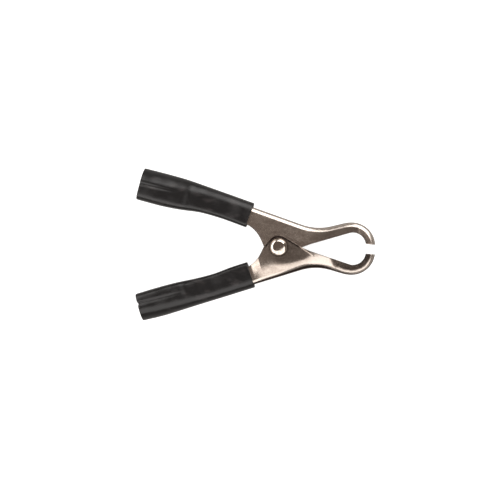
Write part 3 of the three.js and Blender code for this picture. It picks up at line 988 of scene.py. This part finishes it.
def pale_floor():
    """Matt white studio board that glows a little, as a light table does."""
    surface = Surface("pale_floor")
    shade = surface.blend(surface.noise(0.01, 2), (0.34, 0.34, 0.34), (0.36, 0.36, 0.36))
    surface.set("Base Color", shade)
    surface.set("Roughness", 0.9)
    surface.set("Specular IOR Level", 0.1)
    surface.shader.inputs["Emission Color"].default_value = (1, 1, 1, 1)
    surface.set("Emission Strength", 0.95)
    return surface.material


# ---------------------------------------------------------------- studio

def softbox(name, clock, height, width, tall, radiance):
    """A rectangular light that faces the clip. clock is its bearing from +Y towards +X in degrees."""
    bearing = math.radians(clock)
    lift = math.radians(height)
    direction = Vector((
        math.sin(bearing) * math.cos(lift),
        math.cos(bearing) * math.cos(lift),
        math.sin(lift),
    ))
    light = bpy.data.lights.new(name, "AREA")
    light.shape = "RECTANGLE"
    light.size = width
    light.size_y = tall
    light.energy = radiance * math.pi * width * tall
    light.color = LIGHT_COLOUR
    holder = bpy.data.objects.new(name, light)
    bpy.context.scene.collection.objects.link(holder)
    holder.location = direction * LIGHT_DISTANCE
    holder.rotation_euler = direction.to_track_quat("Z", "Y").to_euler()
    holder.visible_camera = False


def lay_floor():
    """A wide floor just under the clip, which turns up into a wall all round."""
    level = -0.00002
    flat = 2.5
    sweep = 1.5
    angles = np.linspace(0, 2 * math.pi, 73)[:-1]
    rise = np.linspace(0, math.pi / 2, 17)
    radius = np.concatenate([[0.02, flat / 2], flat + sweep * np.sin(rise)])
    height = level + np.concatenate([[0, 0], sweep * (1 - np.cos(rise))])
    points = np.stack([
        radius[:, None] * np.cos(angles),
        radius[:, None] * np.sin(angles),
        height[:, None] + 0 * angles,
    ], axis=-1)
    faces = [face[::-1] for face in grid_faces(len(radius), len(angles), closed=False)]
    faces.append(tuple(range(len(angles))))
    mesh = bpy.data.meshes.new("floor")
    mesh.from_pydata(points.reshape(-1, 3).tolist(), [], faces)
    mesh.shade_smooth()
    floor = bpy.data.objects.new("floor", mesh)
    bpy.context.scene.collection.objects.link(floor)
    mesh.materials.append(pale_floor())
    floor.visible_glossy = False


def light_studio():
    """Three large softboxes round a dim sky, so that flat metal stays dark and its bends shine."""
    softbox("softbox_back", clock=32, height=40, width=0.8, tall=1.1, radiance=3.3)
    softbox("softbox_front", clock=163, height=51, width=1.3, tall=0.9, radiance=1.75)
    softbox("softbox_left", clock=272, height=42, width=2.4, tall=0.88, radiance=2.6)
    dim_sky()


def dim_sky():
    """Surroundings that are darkest overhead and lighter below, where a pale room would be."""
    below = (0.42, 0.40, 0.38)
    overhead = (0.125, 0.098, 0.084)
    world = bpy.data.worlds.new("studio")
    bpy.context.scene.world = world
    world.use_nodes = True
    tree = world.node_tree
    direction = tree.nodes.new("ShaderNodeTexCoord")
    height = tree.nodes.new("ShaderNodeSeparateXYZ")
    tree.links.new(direction.outputs["Generated"], height.inputs["Vector"])
    share = spread_value(tree, height.outputs["Z"], -0.3, 0.5)
    tint = blend_colours(tree, share, below, overhead)
    tree.links.new(tint, tree.nodes["Background"].inputs["Color"])


def place_camera():
    """A long lens almost straight above, leaning a little towards the jaws."""
    frame_width = 215.0
    aim = Vector((-12.3, -1.6, 10.0)) * MM
    lean = math.radians(1.5)
    turn = math.radians(1.36)
    data = bpy.data.cameras.new("camera")
    data.lens = 100
    data.sensor_width = 36
    data.clip_start = 0.01
    data.clip_end = 20
    distance = frame_width * MM * data.lens / data.sensor_width
    camera = bpy.data.objects.new("camera", data)
    bpy.context.scene.collection.objects.link(camera)
    back = Vector((math.sin(lean), 0, math.cos(lean)))
    up = Vector((-math.sin(turn), math.cos(turn), 0))
    right = up.cross(back).normalized()
    up = back.cross(right)
    rotation = Matrix((right, up, back)).transposed().to_4x4()
    camera.matrix_world = Matrix.Translation(aim + back * distance) @ rotation
    bpy.context.scene.camera = camera


# ---------------------------------------------------------------- assembly

def add(piece, material, body, node):
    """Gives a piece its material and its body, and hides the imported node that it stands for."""
    piece.data.materials.clear()
    piece.data.materials.append(material)
    if body is not None:
        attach(piece, body)
    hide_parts(node)


def add_levers():
    """The two stampings. The lower one's ears are flared, so its walls have finer faces."""
    nickel = nickel_plate()
    upper = lever(
        "upper_lever_stamping", plain_wall, upper_shading, UPPER_BENDS, UPPER_SHADE_LINE, UPPER_TIP,
        levels=44, mirror=False,
    )
    add(upper, nickel, "upper", "upper_lever")
    lower = lever(
        "lower_lever_stamping", ear_flare, lower_shading, LOWER_BENDS, LOWER_SHADE_LINE, LOWER_TIP,
        levels=72, mirror=True,
    )
    add(lower, nickel, "lower", "lower_lever")


def add_pivot():
    """The rivet, on the lower lever, and the spring, whose wire runs from the lower handle's leg round the
    rivet to the upper handle's leg.
    """
    add(rivet("rivet"), bright_nickel(), "lower", "pivot_rivet")
    coil = spring("spring_wire")
    add(coil, drawn_wire(), None, "torsion_spring")
    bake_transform(coil)


def add_sleeves():
    """The two sleeves on the handles."""
    vinyl = black_vinyl()
    upper = sleeve("upper_sleeve_vinyl", UPPER_SLEEVE, UPPER_CREASE, mirror=False)
    add(upper, vinyl, "upper", "upper_sleeve")
    lower = sleeve("lower_sleeve_vinyl", LOWER_SLEEVE, LOWER_CREASE, mirror=True)
    add(lower, vinyl, "lower", "lower_sleeve")


add_levers()
add_pivot()
add_sleeves()
lay_floor()
light_studio()
place_camera()
bpy.context.scene.view_settings.view_transform = "Standard"
